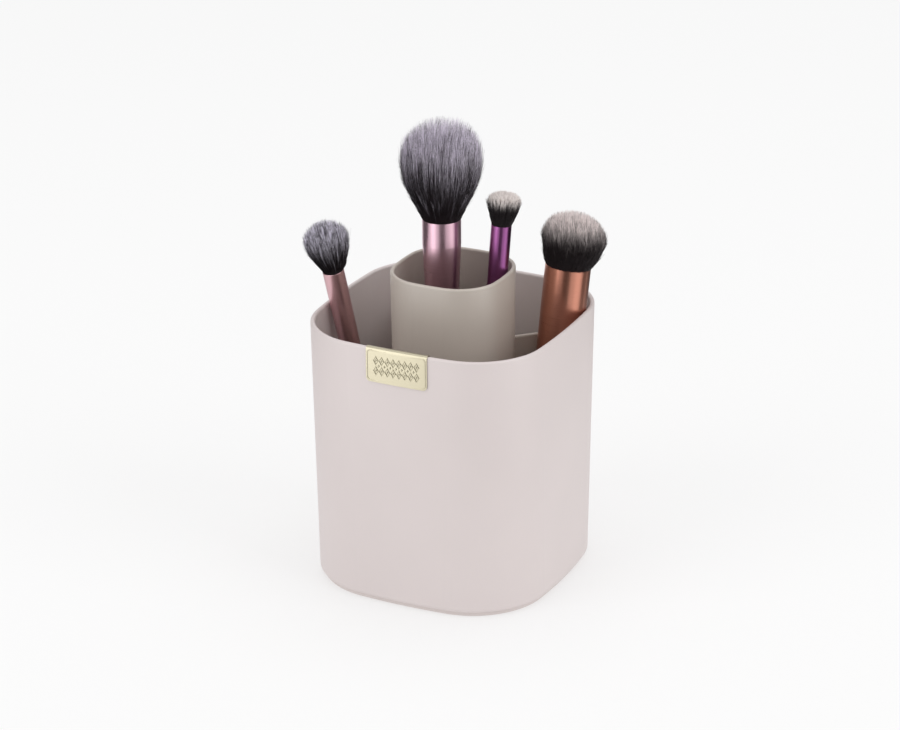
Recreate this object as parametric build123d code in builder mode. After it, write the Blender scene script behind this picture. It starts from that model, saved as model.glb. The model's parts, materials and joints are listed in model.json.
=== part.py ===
"""Make-up brush cleaner: a bowed-square pot, a lift-out insert with a washing cup, and four brushes.

Frame: origin at the centre of the base pad's underside, +Z up, badge on the -Y side, millimetres.
"""

import math
import os
from dataclasses import dataclass

from build123d import *

# Pot: the outline is a square with bowed sides and round corners, a little wider at the rim
POT_BASE_Z = 2.0
POT_RIM_Z = 127.0
POT_WALL = 2.2
POT_FLOOR = 2.8
POT_EDGE_RADIUS = 2.0
POT_RIM_RADIUS = 1.05
POT_FOOT_BAND = 3.0
POT_RIM_BAND = 2.0
POT_BASE_OUTLINE = (57.7, 265.0, 38.0)
POT_RIM_OUTLINE = (58.3, 356.0, 34.0)

# Non-slip pad under the pot
PAD_INSET = 2.0
PAD_EDGE_RADIUS = 0.5

# Metal badge folded over the front rim
BADGE_WIDTH = 30.4
BADGE_BOTTOM_Z = 111.0
BADGE_THICKNESS = 0.5
BADGE_GAP = 0.06
BADGE_INNER_LEG = 7.0
BADGE_CORNER_RADIUS = 2.0

# Insert: floor plate, four fins on the diagonals and a raised cup, in one moulding
INSERT_GAP = 0.45
INSERT_BASE_Z = POT_BASE_Z + POT_FLOOR + 0.3
INSERT_PLATE = 1.8
FIN_TOP_Z = 109.7
FIN_THICKNESS = 2.2
FIN_EDGE_RADIUS = 0.9
FIN_ROOT_RADIUS = 28.4
CUP_RIM_Z = 147.5
CUP_WALL = 1.9
CUP_FLOOR_RADIUS = 1.5
CUP_RIM_EDGE_RADIUS = 0.9
CUP_FOOT_BAND = 2.5
CUP_RIM_BAND = 2.0
CUP_BASE_OUTLINE = (25.3, 112.0, 18.45)
CUP_RIM_OUTLINE = (26.75, 113.45, 19.9)

# Silicone scrub mat in the cup
MAT_INSET = 1.6
MAT_BASE = 2.0
MAT_RELIEF = 2.5
NUB_RADIUS = 1.1
NUB_PITCH = 4.4
RIB_WIDTH = 1.4
RIB_PITCH = 4.0

# Brushes
FERRULE_WALL = 0.5
FERRULE_STRAIGHT = 12.0
TUFT_ROOT = 6.0
GLUE_DEPTH = 6.0
CORE_GAP = 0.1
CORE_END_COVER = 14.0


@dataclass
class Brush:
    """One brush: where it stands, and its sizes measured down from the ferrule's mouth."""

    name: str
    mouth: Vector
    foot: Vector
    mouth_radius: float
    ferrule_end_radius: float
    ferrule_length: float
    belly_radius: float
    tuft_outline: list

    @property
    def direction(self):
        """Unit vector along the brush, from its foot to its tips."""
        return (self.mouth - self.foot).normalized()

    @property
    def length(self):
        """From the end of the grip to the ferrule's mouth."""
        return (self.mouth - self.foot).length

    @property
    def axis(self):
        """The brush's own axis, through the ferrule's mouth."""
        return Axis(self.mouth, self.direction)

    @property
    def plane(self):
        """Plane through the axis: local x is the radius and local y runs towards the tips."""
        across = self.direction.cross(Vector(0, 1, 0)).normalized()
        return Plane(origin=self.mouth, x_dir=across, z_dir=across.cross(self.direction))


BRUSHES = [
    Brush(
        name="powder",
        mouth=Vector(-6.8, 2.3, 169.8),
        foot=Vector(-6.8, 2.3, 12.0),
        mouth_radius=8.95,
        ferrule_end_radius=6.9,
        ferrule_length=58.0,
        belly_radius=8.4,
        tuft_outline=[(10.4, 4.4), (13.6, 11.8), (16.6, 19.2), (19.4, 29), (17.4, 38.6), (9.9, 45.4), (0, 47.7)],
    ),
    Brush(
        name="detail",
        mouth=Vector(20.3, 8.9, 168.8),
        foot=Vector(9.9, 4.8, 12.6),
        mouth_radius=4.7,
        ferrule_end_radius=4.5,
        ferrule_length=52.0,
        belly_radius=4.9,
        tuft_outline=[(6.2, 4.2), (7.8, 9.0), (8.2, 11.6), (7.3, 13.6), (4.0, 14.7), (0, 15.0)],
    ),
    Brush(
        name="highlighter",
        mouth=Vector(-51.7, -19.8, 144.8),
        foot=Vector(-40.5, 12.0, 8.4),
        mouth_radius=5.0,
        ferrule_end_radius=4.75,
        ferrule_length=62.0,
        belly_radius=5.4,
        tuft_outline=[(7.4, 3.8), (9.4, 8.0), (10.6, 13.8), (9.4, 20.4), (5.2, 24.0), (0, 25.0)],
    ),
    Brush(
        name="foundation",
        mouth=Vector(45.7, 26.9, 147.0),
        foot=Vector(36.6, 12.6, 8.9),
        mouth_radius=10.6,
        ferrule_end_radius=10.2,
        ferrule_length=60.0,
        belly_radius=9.8,
        tuft_outline=[(12.6, 4.4), (14.9, 9.8), (15.7, 14.2), (14.2, 19.4), (8.2, 23.8), (0, 25.0)],
    ),
]


def bowed_square(outline, height, inset=0.0):
    """Face at a height: four bowed sides of one radius, blended by four corner arcs.

    outline holds the half width across the sides, the sides' radius and the corners' radius.
    """
    half_width, side_radius, corner_radius = (size - inset for size in outline)
    centre = half_width - side_radius
    corner = (centre + math.sqrt(2 * side_radius**2 - centre**2)) / 2
    ends = [(-corner, corner), (corner, corner), (corner, -corner), (-corner, -corner)]
    middles = [(0, half_width), (half_width, 0), (0, -half_width), (-half_width, 0)]
    with BuildSketch(Plane.XY.offset(height)) as face:
        with BuildLine():
            for side, middle in enumerate(middles):
                ThreePointArc(ends[side], middle, ends[(side + 1) % 4])
        make_face()
        fillet(face.vertices(), corner_radius)
    return face.sketch


def save(part, name):
    """Label one finished piece and write it to its own STEP file."""
    part.label = name
    export_step(part, f"parts/{name}.step")


def tapered(outlines, heights, inset, bands=(0.0, 0.0)):
    """Solid that tapers between two outlines, with an upright band at its foot and its rim if asked."""
    low, high = outlines
    foot_band, rim_band = bands
    with BuildPart() as solid:
        add(bowed_square(low, heights[0] + foot_band, inset))
        add(bowed_square(high, heights[1] - rim_band, inset))
        loft(ruled=True)
        for outline, start, band in ((low, heights[0], foot_band), (high, heights[1] - rim_band, rim_band)):
            if band:
                add(bowed_square(outline, start, inset))
                extrude(amount=band)
    return solid.part


def make_outer_pot():
    """One moulding with a rounded rim and a small radius round the foot."""
    outlines = (POT_BASE_OUTLINE, POT_RIM_OUTLINE)
    floor_z = POT_BASE_Z + POT_FLOOR
    with BuildPart() as outer_pot:
        add(tapered(outlines, (POT_BASE_Z, POT_RIM_Z), 0, (POT_FOOT_BAND, POT_RIM_BAND)))
        fillet(outer_pot.edges().group_by(Axis.Z)[0], POT_EDGE_RADIUS)
        add(tapered(outlines, (floor_z, POT_RIM_Z), POT_WALL, (0, POT_RIM_BAND)), mode=Mode.SUBTRACT)
        fillet(outer_pot.edges().group_by(Axis.Z)[-1], POT_RIM_RADIUS)
    save(outer_pot.part, "outer_pot")


def make_base_pad():
    """Flat pad, set in a little from the pot's foot."""
    with BuildPart() as base_pad:
        add(bowed_square(POT_BASE_OUTLINE, 0, PAD_INSET))
        extrude(amount=POT_BASE_Z)
        fillet(base_pad.edges().group_by(Axis.Z)[0], PAD_EDGE_RADIUS)
    save(base_pad.part, "base_pad")


def make_label_badge():
    """Thin metal clip: a hook-shaped section swept round the front side's bow."""
    half_width, side_radius, _ = POT_RIM_OUTLINE
    inner_radius = POT_WALL / 2 + BADGE_GAP
    outer_radius = inner_radius + BADGE_THICKNESS
    fold_y = -(half_width - POT_WALL / 2)
    fold_z = POT_RIM_Z - POT_WALL / 2
    bow_axis = Axis((0, side_radius - half_width, 0), (0, 0, 1))
    sweep_angle = 2 * math.degrees(BADGE_WIDTH / side_radius)
    with BuildPart() as label_badge:
        with BuildSketch(Plane.YZ):
            with BuildLine():
                inner_leg_z = POT_RIM_Z - BADGE_INNER_LEG
                Polyline(
                    (fold_y - inner_radius, fold_z),
                    (fold_y - inner_radius, BADGE_BOTTOM_Z),
                    (fold_y - outer_radius, BADGE_BOTTOM_Z),
                    (fold_y - outer_radius, fold_z),
                )
                Polyline(
                    (fold_y + inner_radius, fold_z),
                    (fold_y + inner_radius, inner_leg_z),
                    (fold_y + outer_radius, inner_leg_z),
                    (fold_y + outer_radius, fold_z),
                )
                for radius in (inner_radius, outer_radius):
                    ThreePointArc(
                        (fold_y - radius, fold_z), (fold_y, fold_z + radius), (fold_y + radius, fold_z)
                    )
            make_face()
        revolve(axis=bow_axis, revolution_arc=sweep_angle / 2)
        mirror(about=Plane.YZ)
        with BuildSketch(Plane.XZ.offset(half_width / 2)) as front:
            with Locations((0, (BADGE_BOTTOM_Z + CUP_RIM_Z) / 2)):
                Rectangle(BADGE_WIDTH, CUP_RIM_Z - BADGE_BOTTOM_Z)
            fillet(front.vertices().group_by(Axis.Z)[0], BADGE_CORNER_RADIUS)
        extrude(amount=half_width, mode=Mode.INTERSECT)
    save(label_badge.part, "label_badge")


def make_compartment_insert():
    """Floor plate, four fins and the raised cup, moulded as one piece that lifts out."""
    pot_outlines = (POT_BASE_OUTLINE, POT_RIM_OUTLINE)
    clearance = tapered(pot_outlines, (INSERT_BASE_Z, POT_RIM_Z), POT_WALL + INSERT_GAP)
    cup_outlines = (CUP_BASE_OUTLINE, CUP_RIM_OUTLINE)
    cup_heights = (INSERT_BASE_Z + INSERT_PLATE, CUP_RIM_Z)
    with BuildPart() as cup_space:
        add(tapered(cup_outlines, cup_heights, CUP_WALL, (CUP_FOOT_BAND, CUP_RIM_BAND)))
        fillet(cup_space.edges().group_by(Axis.Z)[0], CUP_FLOOR_RADIUS)
    reach = 2 * POT_RIM_OUTLINE[0]
    with BuildPart() as compartment_insert:
        with BuildSketch(Plane.XY.offset(INSERT_BASE_Z)):
            with PolarLocations(FIN_ROOT_RADIUS, 4, start_angle=45):
                Rectangle(reach, FIN_THICKNESS, align=(Align.MIN, Align.CENTER))
        extrude(amount=FIN_TOP_Z - INSERT_BASE_Z)
        fillet(
            compartment_insert.edges().group_by(Axis.Z)[-1].filter_by(lambda edge: edge.length > reach / 2),
            FIN_EDGE_RADIUS,
        )
        with BuildSketch(Plane.XY.offset(INSERT_BASE_Z)):
            Rectangle(reach, reach)
        extrude(amount=INSERT_PLATE)
        add(clearance, mode=Mode.INTERSECT)
        add(tapered(cup_outlines, (INSERT_BASE_Z, CUP_RIM_Z), 0, (0, CUP_RIM_BAND)))
        add(cup_space.part, mode=Mode.SUBTRACT)
        fillet(compartment_insert.edges().group_by(Axis.Z)[-1], CUP_RIM_EDGE_RADIUS)
    save(compartment_insert.part, "compartment_insert")


def make_scrub_mat():
    """Silicone mat: nubs on its left half and straight ribs on its right half."""
    mat_z = INSERT_BASE_Z + INSERT_PLATE
    half_width = CUP_BASE_OUTLINE[0] - CUP_WALL - MAT_INSET
    with BuildPart() as scrub_mat:
        add(bowed_square(CUP_BASE_OUTLINE, mat_z, CUP_WALL + MAT_INSET))
        extrude(amount=MAT_BASE)
        with BuildSketch(Plane.XY.offset(mat_z + MAT_BASE)):
            with Locations((-half_width / 2, 0)):
                with GridLocations(NUB_PITCH, NUB_PITCH, 4, 7):
                    Circle(NUB_RADIUS)
            with Locations((half_width / 2, 0)):
                with GridLocations(RIB_PITCH, 0, 4, 1):
                    SlotOverall(1.4 * half_width, RIB_WIDTH, rotation=90)
        extrude(amount=MAT_RELIEF)
    save(scrub_mat.part, "scrub_mat")


def make_tuft(brush):
    """Bristle head: a root inside the ferrule and a flared, domed head above it."""
    root_radius = brush.mouth_radius - FERRULE_WALL
    top = brush.tuft_outline[-1][1]
    with BuildPart() as tuft:
        with BuildSketch(brush.plane):
            with BuildLine():
                Spline((root_radius, 0), *brush.tuft_outline, tangents=[(1, 2), (-1, 0)])
                Polyline((0, top), (0, -TUFT_ROOT), (root_radius, -TUFT_ROOT), (root_radius, 0))
            make_face()
        revolve(axis=brush.axis)
    save(tuft.part, f"{brush.name}_tuft")


def make_glue_plug(brush):
    """Disc of set glue that holds the bristle roots in the ferrule."""
    top, bottom = -TUFT_ROOT, -TUFT_ROOT - GLUE_DEPTH
    radius = brush.mouth_radius - FERRULE_WALL
    with BuildPart() as glue_plug:
        with BuildSketch(brush.plane):
            with BuildLine():
                Polyline((0, top), (radius, top), (radius, bottom), (0, bottom), close=True)
            make_face()
        revolve(axis=brush.axis)
    save(glue_plug.part, f"{brush.name}_glue_plug")


def make_ferrule(brush):
    """Thin aluminium tube, straight at its mouth and tapered below."""
    mouth, end = brush.mouth_radius, brush.ferrule_end_radius
    with BuildPart() as ferrule:
        with BuildSketch(brush.plane):
            with BuildLine():
                Polyline(
                    (mouth, 0),
                    (mouth, -FERRULE_STRAIGHT),
                    (end, -brush.ferrule_length),
                    (end - FERRULE_WALL, -brush.ferrule_length),
                    (mouth - FERRULE_WALL, -FERRULE_STRAIGHT),
                    (mouth - FERRULE_WALL, 0),
                    close=True,
                )
            make_face()
        revolve(axis=brush.axis)
        fillet(ferrule.edges().group_by(brush.axis)[-1].sort_by(SortBy.LENGTH)[-1], FERRULE_WALL / 2)
    save(ferrule.part, f"{brush.name}_ferrule")


def core_outline(brush):
    """Half section of the handle core, from the glue plug down into the grip."""
    top = -(TUFT_ROOT + GLUE_DEPTH)
    radius = brush.ferrule_end_radius - FERRULE_WALL - CORE_GAP
    bottom = -(brush.length - CORE_END_COVER)
    return [(0, top), (radius, top), (radius, -brush.ferrule_length), (radius / 2, bottom), (0, bottom)]


def make_handle_core(brush):
    """Stiff rod that joins the ferrule to the grip."""
    with BuildPart() as handle_core:
        with BuildSketch(brush.plane):
            with BuildLine():
                Polyline(*core_outline(brush), close=True)
            make_face()
        revolve(axis=brush.axis)
    save(handle_core.part, f"{brush.name}_handle_core")


def make_grip(brush):
    """Soft grip with a slim neck at the ferrule, a fuller belly and a round end."""
    neck, belly = brush.ferrule_end_radius, brush.belly_radius
    top, bottom = -brush.ferrule_length, -brush.length
    quarter = (0, math.pi / 4, math.pi / 2)
    round_end = [(belly * math.sin(turn), bottom + belly * (1 - math.cos(turn))) for turn in quarter]
    with BuildPart() as grip:
        with BuildSketch(brush.plane):
            with BuildLine():
                ThreePointArc(*round_end)
                Spline(round_end[-1], (neck, top), tangents=[(0, 1), (0, 1)])
                Polyline((neck, top), (0, top), (0, bottom))
            make_face()
        revolve(axis=brush.axis)
        with BuildSketch(brush.plane):
            with BuildLine():
                Polyline(*core_outline(brush), close=True)
            make_face()
        revolve(axis=brush.axis, mode=Mode.SUBTRACT)
    save(grip.part, f"{brush.name}_grip")


os.makedirs("parts", exist_ok=True)
make_outer_pot()
make_base_pad()
make_label_badge()
make_compartment_insert()
make_scrub_mat()
for one_brush in BRUSHES:
    make_tuft(one_brush)
    make_glue_plug(one_brush)
    make_ferrule(one_brush)
    make_handle_core(one_brush)
    make_grip(one_brush)
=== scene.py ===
"""Looks for the make-up brush cleaner: camera, studio, finishes, badge emboss and bristle heads."""

import json
import math

import bpy
import numpy as np
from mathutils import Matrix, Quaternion, Vector


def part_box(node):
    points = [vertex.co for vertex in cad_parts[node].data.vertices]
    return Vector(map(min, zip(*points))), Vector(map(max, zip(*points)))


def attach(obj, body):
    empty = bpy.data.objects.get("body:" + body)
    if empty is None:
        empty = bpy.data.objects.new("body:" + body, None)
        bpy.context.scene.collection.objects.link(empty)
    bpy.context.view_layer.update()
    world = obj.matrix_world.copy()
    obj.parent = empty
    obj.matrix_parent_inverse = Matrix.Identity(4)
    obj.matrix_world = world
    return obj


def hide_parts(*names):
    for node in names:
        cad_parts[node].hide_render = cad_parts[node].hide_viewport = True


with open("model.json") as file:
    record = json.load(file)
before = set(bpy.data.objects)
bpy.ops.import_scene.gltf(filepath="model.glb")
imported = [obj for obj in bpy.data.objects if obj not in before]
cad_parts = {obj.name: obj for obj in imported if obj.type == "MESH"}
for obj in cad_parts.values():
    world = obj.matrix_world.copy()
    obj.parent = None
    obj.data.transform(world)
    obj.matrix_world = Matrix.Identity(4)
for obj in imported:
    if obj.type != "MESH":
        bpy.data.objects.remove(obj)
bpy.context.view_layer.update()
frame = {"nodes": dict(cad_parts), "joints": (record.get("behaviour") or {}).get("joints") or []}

SCENE = bpy.context.scene
MM = 0.001

# Camera: it stands in front and to the right, and looks down at the pot
CAMERA_AZIMUTH = math.radians(26.0)
CAMERA_ELEVATION = math.radians(23.7)
CAMERA_ROLL = math.radians(-0.35)
CAMERA_DISTANCE = 1575 * MM
CAMERA_TARGET = Vector((0, 0, 64.9 * MM))
CAMERA_AIM_ABOVE = 31.6 * MM
CAMERA_AIM_LEFT = 1.7 * MM
CAMERA_LENS = 134.9
SENSOR_WIDTH = 36.0

# Studio
FLOOR_HALF = 6.0
SKY_STRENGTH = 0.76
FLOOR_SHADE = 0.50
FLOOR_GLOW = 0.46
CARD_DISTANCE = 300 * MM
CARD_HEIGHT = 420 * MM
# Lamps: bearing from the camera and height in degrees, distance and side in metres, power in watts
LAMPS = {
    "key": (-58, 38, 2.5, 1.5, 9.0),
    "fill": (60, 32, 2.5, 1.5, 10.0),
    "overhead": (160, 78, 2.4, 2.0, 8.0),
}
# Cards: bearing from the camera in degrees, width in metres, shade and glow
CARDS = {
    "front_card": (2, 0.20, 0.08, 0.0),
    "left_strip": (-52, 0.16, 0.5, 1.5),
    "right_strip": (60, 0.15, 0.5, 1.0),
    "right_card": (92, 0.14, 0.08, 0.0),
    "left_back_card": (-118, 0.26, 0.12, 0.0),
    "right_back_card": (134, 0.26, 0.12, 0.0),
}


def camera_axes():
    """Unit vectors from the target back to the camera, to its right and up."""
    flat = math.cos(CAMERA_ELEVATION)
    back = Vector(
        (math.sin(CAMERA_AZIMUTH) * flat, -math.cos(CAMERA_AZIMUTH) * flat, math.sin(CAMERA_ELEVATION))
    )
    right = Vector((math.cos(CAMERA_AZIMUTH), math.sin(CAMERA_AZIMUTH), 0))
    return back, right, back.cross(right)


def make_camera():
    """A long lens aimed a little above the target, so that the pot stands low in the frame."""
    back, right, up = camera_axes()
    lens = bpy.data.cameras.new("camera")
    lens.lens = CAMERA_LENS
    lens.sensor_width = SENSOR_WIDTH
    camera = bpy.data.objects.new("camera", lens)
    SCENE.collection.objects.link(camera)
    camera.location = CAMERA_TARGET + back * CAMERA_DISTANCE
    aim = CAMERA_TARGET + up * CAMERA_AIM_ABOVE - right * CAMERA_AIM_LEFT
    level = (camera.location - aim).to_track_quat("Z", "Y")
    camera.rotation_euler = (level @ Quaternion((0, 0, 1), CAMERA_ROLL)).to_euler()
    SCENE.camera = camera


def place_light(name, azimuth, elevation, distance, size, power):
    """A square lamp at that bearing from the camera's side of the pot, turned to face the pot."""
    bearing = CAMERA_AZIMUTH + math.radians(azimuth)
    height = math.radians(elevation)
    outward = Vector(
        (math.sin(bearing) * math.cos(height), -math.cos(bearing) * math.cos(height), math.sin(height))
    )
    lamp = bpy.data.lights.new(name, "AREA")
    lamp.shape = "SQUARE"
    lamp.size = size
    lamp.energy = power
    light = bpy.data.objects.new(name, lamp)
    SCENE.collection.objects.link(light)
    light.location = CAMERA_TARGET + outward * distance
    light.rotation_euler = outward.to_track_quat("Z", "Y").to_euler()


def place_card(name, azimuth, width, shade, glow):
    """An upright matt card close to the pot that shows only in reflections, as bands on the metal."""
    bearing = CAMERA_AZIMUTH + math.radians(azimuth)
    centre = Vector((math.sin(bearing), -math.cos(bearing), 0)) * CARD_DISTANCE
    side = Vector((math.cos(bearing), math.sin(bearing), 0)) * width / 2
    rise = Vector((0, 0, CARD_HEIGHT))
    corners = [centre - side, centre + side, centre + side + rise, centre - side + rise]
    mesh = bpy.data.meshes.new(name)
    mesh.from_pydata(corners, [], [(0, 1, 2, 3)])
    card = bpy.data.objects.new(name, mesh)
    SCENE.collection.objects.link(card)
    mesh.materials.append(matt(name, shade, glow))
    card.visible_camera = False
    card.visible_diffuse = False
    card.visible_shadow = False


def matt(name, shade, glow):
    """Plain grey matt finish that may glow by itself."""
    material = bpy.data.materials.new(name)
    material.use_nodes = True
    surface = material.node_tree.nodes["Principled BSDF"]
    surface.inputs["Base Color"].default_value = (shade, shade, shade, 1)
    surface.inputs["Roughness"].default_value = 1.0
    surface.inputs["Specular IOR Level"].default_value = 0.0
    surface.inputs["Emission Color"].default_value = (1, 1, 1, 1)
    surface.inputs["Emission Strength"].default_value = glow
    return material


def make_studio():
    """White surround, bright floor, soft lamps from the left and above, and cards for the metal."""
    world = bpy.data.worlds.new("surround")
    world.use_nodes = True
    sky = world.node_tree.nodes["Background"]
    sky.inputs["Color"].default_value = (1, 1, 1, 1)
    sky.inputs["Strength"].default_value = SKY_STRENGTH
    SCENE.world = world
    SCENE.view_settings.view_transform = "Standard"

    mesh = bpy.data.meshes.new("studio_floor")
    far = FLOOR_HALF
    mesh.from_pydata([(-far, -far, 0), (far, -far, 0), (far, far, 0), (-far, far, 0)], [], [(0, 1, 2, 3)])
    floor = bpy.data.objects.new("studio_floor", mesh)
    SCENE.collection.objects.link(floor)
    mesh.materials.append(matt("studio_floor", FLOOR_SHADE, FLOOR_GLOW))

    for name, lamp in LAMPS.items():
        place_light(name, *lamp)
    for name, card in CARDS.items():
        place_card(name, *card)


# Shared effects, as node groups


def new_group(name, inputs, outputs):
    """Empty shader group with float or vector sockets, given as name: default."""
    group = bpy.data.node_groups.new(name, "ShaderNodeTree")
    for label, default in inputs.items():
        kind = "NodeSocketVector" if isinstance(default, tuple) else "NodeSocketFloat"
        group.interface.new_socket(label, in_out="INPUT", socket_type=kind).default_value = default
    for label in outputs:
        group.interface.new_socket(label, in_out="OUTPUT", socket_type="NodeSocketFloat")
    entry = group.nodes.new("NodeGroupInput")
    leave = group.nodes.new("NodeGroupOutput")
    return group, entry, leave


def noise(tree, detail, roughness):
    """Noise texture node with its own detail."""
    node = tree.nodes.new("ShaderNodeTexNoise")
    node.inputs["Detail"].default_value = detail
    node.inputs["Roughness"].default_value = roughness
    return node


def maths(tree, operation, first, second):
    """Math node on two sockets or numbers; returns its output."""
    node = tree.nodes.new("ShaderNodeMath")
    node.operation = operation
    for socket, value in zip(node.inputs, (first, second)):
        if isinstance(value, bpy.types.NodeSocket):
            tree.links.new(value, socket)
        else:
            socket.default_value = value
    return node.outputs[0]


def roughness_between(group, entry, mask):
    """Roughness that runs from the group's low value to its high one along a mask."""
    low = entry.outputs["Roughness Low"]
    span = maths(group, "SUBTRACT", entry.outputs["Roughness High"], low)
    return maths(group, "ADD", maths(group, "MULTIPLY", mask, span), low)


def make_moulded_grain():
    """Fine eroded-tool grain with slow flow marks, as on a moulded satin plastic."""
    group, entry, leave = new_group(
        "moulded_grain",
        {"Grain Scale": 2600.0, "Flow Scale": 18.0, "Roughness Low": 0.4, "Roughness High": 0.5},
        ["Tone", "Roughness", "Height"],
    )
    place = group.nodes.new("ShaderNodeTexCoord")
    grain = noise(group, 3, 0.6)
    flow = noise(group, 2, 0.5)
    for node, label in ((grain, "Grain Scale"), (flow, "Flow Scale")):
        group.links.new(place.outputs["Object"], node.inputs["Vector"])
        group.links.new(entry.outputs[label], node.inputs["Scale"])
    fine = maths(group, "MULTIPLY", grain.outputs[0], 0.35)
    slow = maths(group, "MULTIPLY", flow.outputs[0], 0.65)
    mixed = maths(group, "ADD", fine, slow)
    group.links.new(mixed, leave.inputs["Tone"])
    group.links.new(roughness_between(group, entry, mixed), leave.inputs["Roughness"])
    group.links.new(grain.outputs[0], leave.inputs["Height"])
    return group


def make_drawn_lines():
    """Fine parallel lines, as left by brushing or drawing; Stretch is how fast they vary on each axis."""
    group, entry, leave = new_group(
        "drawn_lines",
        {"Stretch": (60.0, 60.0, 9000.0), "Roughness Low": 0.2, "Roughness High": 0.32},
        ["Tone", "Roughness", "Height"],
    )
    place = group.nodes.new("ShaderNodeTexCoord")
    stretched = group.nodes.new("ShaderNodeVectorMath")
    stretched.operation = "MULTIPLY"
    group.links.new(place.outputs["Object"], stretched.inputs[0])
    group.links.new(entry.outputs["Stretch"], stretched.inputs[1])
    lines = noise(group, 4, 0.65)
    lines.inputs["Scale"].default_value = 1.0
    group.links.new(stretched.outputs[0], lines.inputs["Vector"])
    group.links.new(lines.outputs[0], leave.inputs["Tone"])
    group.links.new(roughness_between(group, entry, lines.outputs[0]), leave.inputs["Roughness"])
    group.links.new(lines.outputs[0], leave.inputs["Height"])
    return group


GRAIN = make_moulded_grain()
LINES = make_drawn_lines()
# Where along the noise the darker and the lighter tone are reached
TONE_FROM = 0.35
TONE_TO = 0.65


def finish(name, group, settings, tones, bump, **constants):
    """Material whose colour runs between two tones, with the group's roughness and relief.

    settings are the group's own values, bump is the relief's depth in metres, and constants are
    values of the shader's own sockets.
    """
    material = bpy.data.materials.new(name)
    material.use_nodes = True
    tree = material.node_tree
    surface = tree.nodes["Principled BSDF"]
    effect = tree.nodes.new("ShaderNodeGroup")
    effect.node_tree = group
    for label, value in settings.items():
        effect.inputs[label].default_value = value
    ramp = tree.nodes.new("ShaderNodeValToRGB")
    ramp.color_ramp.elements[0].position = TONE_FROM
    ramp.color_ramp.elements[1].position = TONE_TO
    for element, tone in zip(ramp.color_ramp.elements, tones):
        element.color = (*tone, 1)
    tree.links.new(effect.outputs["Tone"], ramp.inputs[0])
    tree.links.new(ramp.outputs["Color"], surface.inputs["Base Color"])
    tree.links.new(effect.outputs["Roughness"], surface.inputs["Roughness"])
    relief = tree.nodes.new("ShaderNodeBump")
    relief.inputs["Distance"].default_value = bump
    relief.inputs["Strength"].default_value = 1.0
    tree.links.new(effect.outputs["Height"], relief.inputs["Height"])
    tree.links.new(relief.outputs["Normal"], surface.inputs["Normal"])
    for label, value in constants.items():
        surface.inputs[label.replace("_", " ")].default_value = value
    return material


def tones_of(colour, spread):
    """A darker and a lighter tone round one colour."""
    return [tuple(channel * (1 + side * spread) for channel in colour) for side in (-1, 1)]


def plastic(name, colour, low, high, bump=0.006 * MM, scale=2600.0, **constants):
    """Satin moulded plastic or rubber."""
    settings = {"Grain Scale": scale, "Roughness Low": low, "Roughness High": high}
    return finish(name, GRAIN, settings, tones_of(colour, 0.02), bump, **constants)


def anodised(name, colour):
    """Satin anodised aluminium, turned, so its fine lines run round it."""
    settings = {"Stretch": (40.0, 40.0, 6000.0), "Roughness Low": 0.24, "Roughness High": 0.34}
    return finish(name, LINES, settings, tones_of(colour, 0.03), 0.0006 * MM, Metallic=1.0)


def make_badge_metal():
    """Pale gold, brushed across its width."""
    settings = {"Stretch": (90.0, 90.0, 9000.0), "Roughness Low": 0.26, "Roughness High": 0.4}
    tones = tones_of((0.55, 0.505, 0.375), 0.05)
    return finish("badge_metal", LINES, settings, tones, 0.002 * MM, Metallic=1.0)


def dress(node, material):
    """Give a CAD node one material."""
    mesh = frame["nodes"][node].data
    mesh.materials.clear()
    mesh.materials.append(material)


FERRULE_COLOURS = {
    "powder": (0.66, 0.43, 0.51),
    "detail": (0.30, 0.10, 0.27),
    "highlighter": (0.68, 0.43, 0.46),
    "foundation": (0.50, 0.22, 0.155),
}
BRUSHES = list(FERRULE_COLOURS)


def dress_frame():
    """Finishes of every CAD node."""
    shell = plastic("pot_shell", (0.70, 0.625, 0.615), 0.42, 0.52, Specular_IOR_Level=0.65)
    pad = plastic("pad_rubber", (0.70, 0.63, 0.61), 0.7, 0.85, bump=0.03 * MM, scale=1400.0)
    insert = plastic("insert_moulding", (0.54, 0.48, 0.425), 0.36, 0.46, Specular_IOR_Level=0.75)
    silicone = plastic("mat_silicone", (0.60, 0.57, 0.55), 0.5, 0.65, bump=0.01 * MM)
    dress("outer_pot", shell)
    dress("base_pad", pad)
    dress("compartment_insert", insert)
    dress("scrub_mat", silicone)
    dress("label_badge", BADGE_METAL)
    grip = plastic("soft_touch_black", (0.022, 0.021, 0.022), 0.5, 0.65, bump=0.01 * MM)
    glue = plastic("set_glue", (0.52, 0.47, 0.37), 0.2, 0.3)
    core = finish(
        "turned_wood",
        LINES,
        {"Stretch": (2500.0, 2500.0, 60.0), "Roughness Low": 0.55, "Roughness High": 0.7},
        [(0.38, 0.26, 0.15), (0.62, 0.47, 0.31)],
        0.02 * MM,
    )
    for brush in BRUSHES:
        dress(f"{brush}_ferrule", anodised(f"{brush}_aluminium", FERRULE_COLOURS[brush]))
        dress(f"{brush}_grip", grip)
        dress(f"{brush}_glue_plug", glue)
        dress(f"{brush}_handle_core", core)


# Badge emboss

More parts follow.
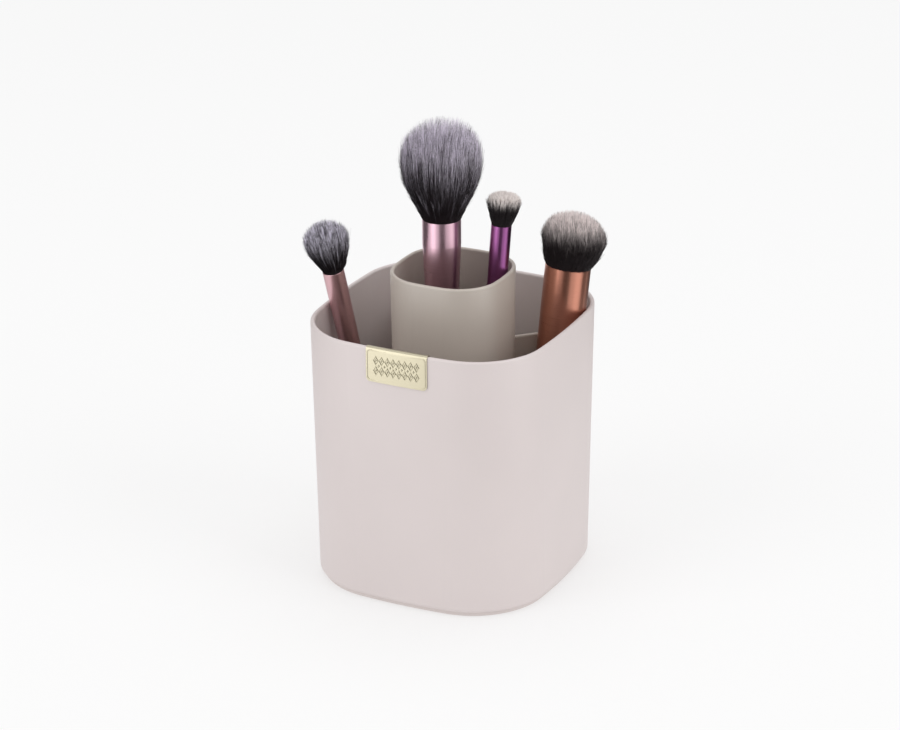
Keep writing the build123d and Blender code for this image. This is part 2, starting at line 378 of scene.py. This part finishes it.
EMBOSS_COLUMNS = 8
EMBOSS_ROWS = 2
EMBOSS_DROP = 0.2 * MM
EMBOSS_PITCH = (2.9 * MM, 4.9 * MM)
LOZENGE_HALF = (1.2 * MM, 2.05 * MM)
LOZENGE_HOLLOW = 0.9
BEAD_HALF = 0.24 * MM
BEAD_HEIGHT = 0.3 * MM
BEAD_PROFILE = ((-1, -0.05), (-0.7, 0.75), (0, 1), (0.7, 0.75), (1, -0.05))
STUD_RADIUS = 0.48 * MM
STUD_STRETCH = 1.5
STUD_PROFILE = ((1.0, -0.05), (0.85, 0.7), (0.45, 1.0))
BETWEEN_STUD_RADIUS = STUD_RADIUS * 1.1
BORDER_INSET = 0.75 * MM
BORDER_CORNER = 1.5 * MM
BORDER_TOP_GAP = 1.5 * MM
BORDER_BEAD = (0.2 * MM, 0.16 * MM)


def badge_front(x):
    """Depth of the badge's bowed outer face at a place across it, from the badge's own mesh."""
    mesh = frame["nodes"]["label_badge"].data
    low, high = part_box("label_badge")
    half = (high.x - low.x) / 2
    edge = min(v.co.y for v in mesh.vertices if abs(v.co.x) > half * 0.98 and v.co.z < low.z + 5 * MM)
    return low.y + (edge - low.y) * (x / half) ** 2


def lozenge_outline(x, z, half, steps=16):
    """A lozenge with slightly hollow sides, as points across and up the badge."""
    points = []
    for step in range(steps):
        angle = math.tau * step / steps
        across, rise = math.cos(angle), math.sin(angle)
        reach = (abs(across) ** LOZENGE_HOLLOW + abs(rise) ** LOZENGE_HOLLOW) ** (-1 / LOZENGE_HOLLOW)
        points.append((x + half[0] * reach * across, z + half[1] * reach * rise))
    return points


def add_raised_rings(vertices, faces, rings, closed):
    """Join rings of the same number of points with faces; closed joins the last ring to the first."""
    first, size = len(vertices), len(rings[0])
    for ring in rings:
        vertices.extend(ring)
    for row in range(len(rings) - (0 if closed else 1)):
        after_row = (row + 1) % len(rings)
        for step in range(size):
            beside = (step + 1) % size
            faces.append(
                (
                    first + row * size + step,
                    first + row * size + beside,
                    first + after_row * size + beside,
                    first + after_row * size + step,
                )
            )
    if not closed:
        faces.append(tuple(first + step for step in reversed(range(size))))
        faces.append(tuple(first + (len(rings) - 1) * size + step for step in range(size)))


def border_outline(low, high, widen, steps=6):
    """Rectangle with round corners just inside the badge's edge, as points across and up it."""
    half = (high.x - low.x) / 2 - BORDER_INSET - BORDER_CORNER
    bottom = low.z + BORDER_INSET + BORDER_CORNER
    top = high.z - BORDER_TOP_GAP - BORDER_CORNER
    corners = [(half, bottom, -90), (half, top, 0), (-half, top, 90), (-half, bottom, 180)]
    points = []
    for x, z, start in corners:
        for step in range(steps + 1):
            angle = math.radians(start + 90 * step / steps)
            reach = BORDER_CORNER + widen
            points.append((x + reach * math.cos(angle), z + reach * math.sin(angle)))
    return points


def add_bead(vertices, faces, outline_at, half, height):
    """A raised half-round bead on the badge along the closed outline that outline_at(widening) gives."""
    bead = []
    for widen, lift in BEAD_PROFILE:
        bead.append([(u, badge_front(u) - lift * height, w) for u, w in outline_at(widen * half)])
    add_raised_rings(vertices, faces, bead, closed=True)


def add_stud(vertices, faces, x, z, radius):
    """A small raised pyramid-like stud on the badge."""
    stud = []
    for share, lift in STUD_PROFILE:
        outline = lozenge_outline(x, z, (radius * share, radius * share * STUD_STRETCH), 8)
        stud.append([(u, badge_front(u) - lift * BEAD_HEIGHT, w) for u, w in outline])
    add_raised_rings(vertices, faces, stud, closed=False)


def make_badge_emboss():
    """A coined border round two rows of raised lozenges and studs, a plain decorative band."""
    low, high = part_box("label_badge")
    middle = (low.z + high.z) / 2 - EMBOSS_DROP
    vertices, faces = [], []
    add_bead(vertices, faces, lambda widen: border_outline(low, high, widen), *BORDER_BEAD)
    for row in range(EMBOSS_ROWS):
        z = middle + (row - (EMBOSS_ROWS - 1) / 2) * EMBOSS_PITCH[1]
        for column in range(EMBOSS_COLUMNS):
            x = (column - (EMBOSS_COLUMNS - 1) / 2) * EMBOSS_PITCH[0]

            def lozenge_at(widen, x=x, z=z):
                return lozenge_outline(x, z, [side + widen for side in LOZENGE_HALF])

            add_bead(vertices, faces, lozenge_at, BEAD_HALF, BEAD_HEIGHT)
            add_stud(vertices, faces, x, z, STUD_RADIUS)
    for column in range(EMBOSS_COLUMNS - 1):
        x = (column - (EMBOSS_COLUMNS - 2) / 2) * EMBOSS_PITCH[0]
        add_stud(vertices, faces, x, middle, BETWEEN_STUD_RADIUS)
    mesh = bpy.data.meshes.new("badge_emboss")
    mesh.from_pydata(vertices, [], faces)
    mesh.materials.append(BADGE_METAL)
    for polygon in mesh.polygons:
        polygon.use_smooth = True
    emboss = bpy.data.objects.new("badge_emboss", mesh)
    SCENE.collection.objects.link(emboss)
    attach(emboss, "pot")


# Bristle heads

STRAND_RINGS = 7
STRAND_SIDES = 3
STRAND_WIDTHS = (0.75, 1.2)
RING_CROWDING = 0.8
TONE_STEPS = 9
TONE_CURVE = 1.6
TONE_LIFT = 0.5
CLUMP_CURVE = 1.5
STAGGER_CURVE = 1.5
# Any direction that no strand runs along, for the first side of a strand
ASIDE = (0.31, 0.87, 0.12)
OUTLINE_STEPS = 60
RIM_DEPTH = 0.05 * MM
# One head's entries:
#   pieces, strands, width   mesh pieces, strands in each, and a strand's radius
#   root, tip                colours at the ferrule and at the tips
#   turns_pale, dark_height  shares of the strand's length and of the head's height where it turns pale
#   tone_jitter, streaks     how much the tone varies from strand to strand, and from clump to clump
#   clumps, stagger          number of clumps, and how much shorter the outer strands may be
#   spread, fan              how far the strands fan out above and below the widest place
#   fullness                 heights, and how full the head is there against the plain CAD head
#   drift                    heights, and how far the middle stands to the side there, in millimetres
#   blunt                    a tip's share of the strand's width
HEADS = {
    "powder": {
        "pieces": 3,
        "strands": 5300,
        "width": 0.062 * MM,
        "root": (0.019, 0.012, 0.015),
        "tip": (0.94, 0.87, 1.0),
        "turns_pale": (0.42, 0.98),
        "clumps": 1100,
        "spread": 0.0,
        "fullness": ((0, 0.2, 0.36, 0.5, 0.63, 0.8, 1), (1, 1.05, 1.07, 1.0, 0.955, 0.98, 1.08)),
        "drift": ((0, 0.5, 0.8, 1), (0, -0.2, 0.1, 1.4)),
        "stagger": 0.4,
        "tone_jitter": 0.14,
        "streaks": 0.27,
        "dark_height": (0.27, 0.82),
        "fan": 0.16,
        "blunt": 0.3,
    },
    "detail": {
        "pieces": 1,
        "strands": 5300,
        "width": 0.045 * MM,
        "root": (0.032, 0.025, 0.028),
        "tip": (1.0, 0.93, 0.90),
        "turns_pale": (0.46, 0.80),
        "clumps": 300,
        "spread": 0.05,
        "fullness": ((0, 0.1, 0.25, 0.5, 1), (1.05, 1.0, 0.96, 0.935, 0.94)),
        "drift": ((0, 0.3, 0.9, 1), (0, 0.4, 0.5, 0.4)),
        "stagger": 0.15,
        "tone_jitter": 0.06,
        "streaks": 0.06,
        "dark_height": (0.57, 0.82),
        "fan": 0.08,
        "blunt": 0.8,
    },
    "highlighter": {
        "pieces": 2,
        "strands": 4600,
        "width": 0.05 * MM,
        "root": (0.018, 0.013, 0.016),
        "tip": (0.92, 0.88, 1.0),
        "turns_pale": (0.40, 1.0),
        "clumps": 600,
        "spread": 0.0,
        "fullness": (
            (0, 0.1, 0.2, 0.36, 0.45, 0.6, 0.75, 1),
            (1, 0.9, 0.84, 0.89, 0.94, 0.98, 1.04, 1.05),
        ),
        "drift": ((0, 0.1, 0.4, 1), (0, 0.5, 0.0, 0.0)),
        "stagger": 0.4,
        "tone_jitter": 0.14,
        "streaks": 0.3,
        "dark_height": (0.38, 0.88),
        "fan": 0.16,
        "blunt": 0.4,
    },
    "foundation": {
        "pieces": 3,
        "strands": 5300,
        "width": 0.05 * MM,
        "root": (0.028, 0.020, 0.022),
        "tip": (0.98, 0.88, 0.86),
        "turns_pale": (0.46, 0.88),
        "clumps": 1100,
        "spread": 0.06,
        "fullness": ((0, 0.1, 0.35, 0.55, 0.7, 0.9, 1), (1.04, 1.03, 0.94, 0.95, 0.91, 0.91, 0.95)),
        "drift": ((0, 0.2, 0.45, 0.7, 0.9, 1), (0.2, 1.0, 1.6, 0.8, 0.3, 0.2)),
        "stagger": 0.3,
        "tone_jitter": 0.08,
        "streaks": 0.12,
        "dark_height": (0.46, 0.82),
        "fan": 0.1,
        "blunt": 0.6,
    },
}
# What the heads share: pull into clumps, ragged ends, wandering strands, and roots below the mouth
HEAD_STYLE = {
    "pull": 0.7,
    "ragged": 0.035,
    "wander": 0.03,
    "sink": 1.0 * MM,
}
# Share of the radius inside which the outer pieces have no strands
OUTER_SHARE = 0.6
SIDEWAYS = (1.0, 0.0, 0.0)


def lift_axis(brush):
    """The brush's own axis, which its lift joint runs along."""
    joint = next(joint for joint in frame["joints"] if joint["child"] == f"{brush}_brush")
    return np.array(joint["axis"], float)


def node_points(node):
    """A CAD node's vertices as an array."""
    mesh = frame["nodes"][node].data
    points = np.empty(len(mesh.vertices) * 3)
    mesh.vertices.foreach_get("co", points)
    return points.reshape(-1, 3)


def head_frame(brush):
    """Centre of the ferrule's mouth, the axis, and two directions across it."""
    axis = lift_axis(brush)
    points = node_points(f"{brush}_ferrule")
    along = points @ axis
    rim = points[along > along.max() - RIM_DEPTH]
    across = rim - np.outer(rim @ axis, axis)
    mouth = (across.min(0) + across.max(0)) / 2 + axis * along.max()
    first = np.cross(axis, (0.0, 1.0, 0.0))
    first /= np.linalg.norm(first)
    return mouth, axis, first, np.cross(axis, first)


def head_outline(brush, mouth, axis):
    """Height and radius of the bristle head's outline above the mouth, from its CAD solid."""
    points = node_points(f"{brush}_tuft") - mouth
    heights = points @ axis
    radii = np.linalg.norm(points - np.outer(heights, axis), axis=1)
    steps = np.linspace(0, heights.max(), OUTLINE_STEPS)
    reach = (steps[1] - steps[0]) * 0.75
    outline = np.array([radii[np.abs(heights - step) <= reach].max(initial=0) for step in steps])
    outline[-1] = 0
    return steps, outline


def head_flow(steps, outline, style):
    """Radius that the outermost strands would follow, fanning out beyond the head's outline."""
    widest = int(outline.argmax())
    past = np.clip((steps - steps[widest]) / (steps[-1] - steps[widest]), 0, 1)
    below = np.clip(steps / steps[widest], 0, 1)
    above = outline[widest] * (1 + style["spread"] * past)
    flow = np.where(steps > steps[widest], above, outline)
    return flow * (1 + style["fan"] * below)


def scatter(count, inner, rng):
    """Places spread evenly over a disc with an empty middle: their radii, and their two coordinates."""
    share = np.sqrt(rng.uniform(inner**2, 1, count))
    turn = rng.uniform(0, math.tau, count)
    return share, np.stack([share * np.cos(turn), share * np.sin(turn)], 1)


def strand_ends(share, steps, outline, flow, rng, style):
    """Height at which each strand ends: where its share of the flow meets the outline, made uneven."""
    ends = np.empty(len(share))
    for index, part in enumerate(share):
        inside = np.nonzero(part * flow <= outline + 1e-9)[0]
        ends[index] = steps[inside[-1]]
    ends *= 1 - np.abs(rng.normal(0, style["ragged"], len(share)))
    outermost = np.clip(share * 2 - 1, 0, 1)
    return ends * (1 - style["stagger"] * rng.uniform(0, 1, len(share)) ** STAGGER_CURVE * outermost)


def strand_paths(brush, count, rng, style):
    """Every strand's points, their heights as shares of the head's height, and its tone shift."""
    mouth, axis, first, second = head_frame(brush)
    steps, outline = head_outline(brush, mouth, axis)
    flow = head_flow(steps, outline, style)

    # Clumps: each strand leans towards the nearest of a few leaders, more and more towards its tip
    share, own = scatter(count, style["inner"], rng)
    leaders = scatter(style["clumps"], style["inner"], rng)[1]
    nearest = np.array([((leaders - place) ** 2).sum(1).argmin() for place in own])
    pull = (leaders[nearest] - own) * style["pull"]

    ends = strand_ends(share, steps, outline, flow, rng, style)
    paths = np.empty((count, STRAND_RINGS, 3))
    heights = np.empty((count, STRAND_RINGS))
    wander = rng.normal(0, style["wander"], (count, 2))
    for ring, part in enumerate(ring_places()):
        height = ends * part
        heights[:, ring] = height / steps[-1]
        radius = np.interp(height, steps, flow) * np.interp(heights[:, ring], *style["fullness"])
        flat = (own + pull * part**CLUMP_CURVE + wander * part**2) * radius[:, None]
        rise = height - style["sink"] * (1 - part)
        drift = np.interp(heights[:, ring], *style["drift"])[:, None] * np.array(SIDEWAYS) * MM
        paths[:, ring] = mouth + flat[:, :1] * first + flat[:, 1:] * second + rise[:, None] * axis + drift
    shift = rng.normal(0, style["tone_jitter"], count)
    shift += rng.normal(0, style["streaks"], len(leaders))[nearest]
    return paths, heights, shift


def ring_places():
    """Where the rings lie along a strand, closer together towards the tip."""
    return np.linspace(0, 1, STRAND_RINGS) ** RING_CROWDING


def strand_mesh(name, paths, widths, tones, blunt):
    """Thin three-sided strands along the paths, with one tone for each stretch between rings."""
    count, rings, _ = paths.shape
    ahead = np.gradient(paths, axis=1)
    ahead /= np.linalg.norm(ahead, axis=2, keepdims=True)
    side = np.cross(ahead, ASIDE)
    side /= np.linalg.norm(side, axis=2, keepdims=True)
    other = np.cross(ahead, side)
    thin = np.interp(ring_places(), (0, 0.6, 1), (1, 0.95, blunt))
    angles = math.tau * np.arange(STRAND_SIDES) / STRAND_SIDES
    ring_points = (
        paths[:, :, None]
        + (widths[:, None] * thin)[:, :, None, None]
        * (np.cos(angles)[:, None] * side[:, :, None] + np.sin(angles)[:, None] * other[:, :, None])
    )
    vertices = ring_points.reshape(-1, 3)
    per_strand = rings * STRAND_SIDES
    faces, face_tones = [], []
    for ring in range(rings - 1):
        for turn in range(STRAND_SIDES):
            here = ring * STRAND_SIDES + turn
            after = ring * STRAND_SIDES + (turn + 1) % STRAND_SIDES
            faces.append((here, after, after + STRAND_SIDES, here + STRAND_SIDES))
            face_tones.append(ring)
    root_starts = np.arange(count) * per_strand
    quads = (np.array(faces)[None] + root_starts[:, None, None]).reshape(-1, 4)
    tip_starts = root_starts + per_strand - STRAND_SIDES
    caps = np.arange(STRAND_SIDES)[None] + tip_starts[:, None]
    mesh = bpy.data.meshes.new(name)
    mesh.vertices.add(len(vertices))
    mesh.vertices.foreach_set("co", vertices.ravel())
    loops = np.concatenate([quads.ravel(), caps.ravel()])
    mesh.loops.add(len(loops))
    mesh.loops.foreach_set("vertex_index", loops.astype(np.int32))
    sizes = np.concatenate([np.full(len(quads), 4), np.full(count, STRAND_SIDES)])
    mesh.polygons.add(len(sizes))
    mesh.polygons.foreach_set("loop_start", (np.cumsum(sizes) - sizes).astype(np.int32))
    chosen = np.concatenate([tones[:, face_tones].ravel(), tones[:, rings - 2]])
    mesh.polygons.foreach_set("material_index", chosen.astype(np.int32))
    mesh.polygons.foreach_set("use_smooth", np.ones(len(sizes), bool))
    mesh.update()
    mesh.validate()
    return mesh


def bristle_materials(brush, root, tip):
    """Filament finishes from the dark root to the pale tip."""
    made = []
    for step in range(TONE_STEPS):
        share = step / (TONE_STEPS - 1)
        colour = [dark + (pale - dark) * share**TONE_CURVE for dark, pale in zip(root, tip)]
        material = bpy.data.materials.new(f"{brush}_bristle_{step}")
        material.use_nodes = True
        surface = material.node_tree.nodes["Principled BSDF"]
        surface.inputs["Base Color"].default_value = (*colour, 1)
        surface.inputs["Roughness"].default_value = 0.5
        surface.inputs["Specular IOR Level"].default_value = 0.3
        made.append(material)
    return made


def make_head(brush):
    """One brush's bristles, as real filaments that stand for the plain CAD solid."""
    head = {**HEAD_STYLE, **HEADS[brush]}
    rng = np.random.default_rng(sum(map(ord, brush)))
    materials = bristle_materials(brush, head["root"], head["tip"])
    start, end = head["turns_pale"]
    dark_below, pale_above = head["dark_height"]
    places = ring_places()
    middles = (places[1:] + places[:-1]) / 2
    for piece in range(head["pieces"]):
        is_outer = piece < head["pieces"] - 1
        style = {**head, "inner": OUTER_SHARE if is_outer else 0.0}
        paths, heights, shift = strand_paths(brush, head["strands"], rng, style)
        paleness = np.clip((middles[None] + shift[:, None] - start) / (end - start), 0, 1)
        heights = (heights[:, 1:] + heights[:, :-1]) / 2 + shift[:, None] * TONE_LIFT
        paleness *= np.clip((heights - dark_below) / (pale_above - dark_below), 0, 1)
        tones = np.rint(paleness * (TONE_STEPS - 1)).astype(int)
        widths = head["width"] * rng.uniform(*STRAND_WIDTHS, head["strands"])
        name = f"{brush}_bristles_{piece + 1}"
        mesh = strand_mesh(name, paths, widths, tones, head["blunt"])
        for material in materials:
            mesh.materials.append(material)
        bristles = bpy.data.objects.new(name, mesh)
        SCENE.collection.objects.link(bristles)
        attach(bristles, f"{brush}_brush")
        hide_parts(f"{brush}_tuft")


make_camera()
make_studio()
BADGE_METAL = make_badge_metal()
dress_frame()
make_badge_emboss()
for brush in BRUSHES:
    make_head(brush)
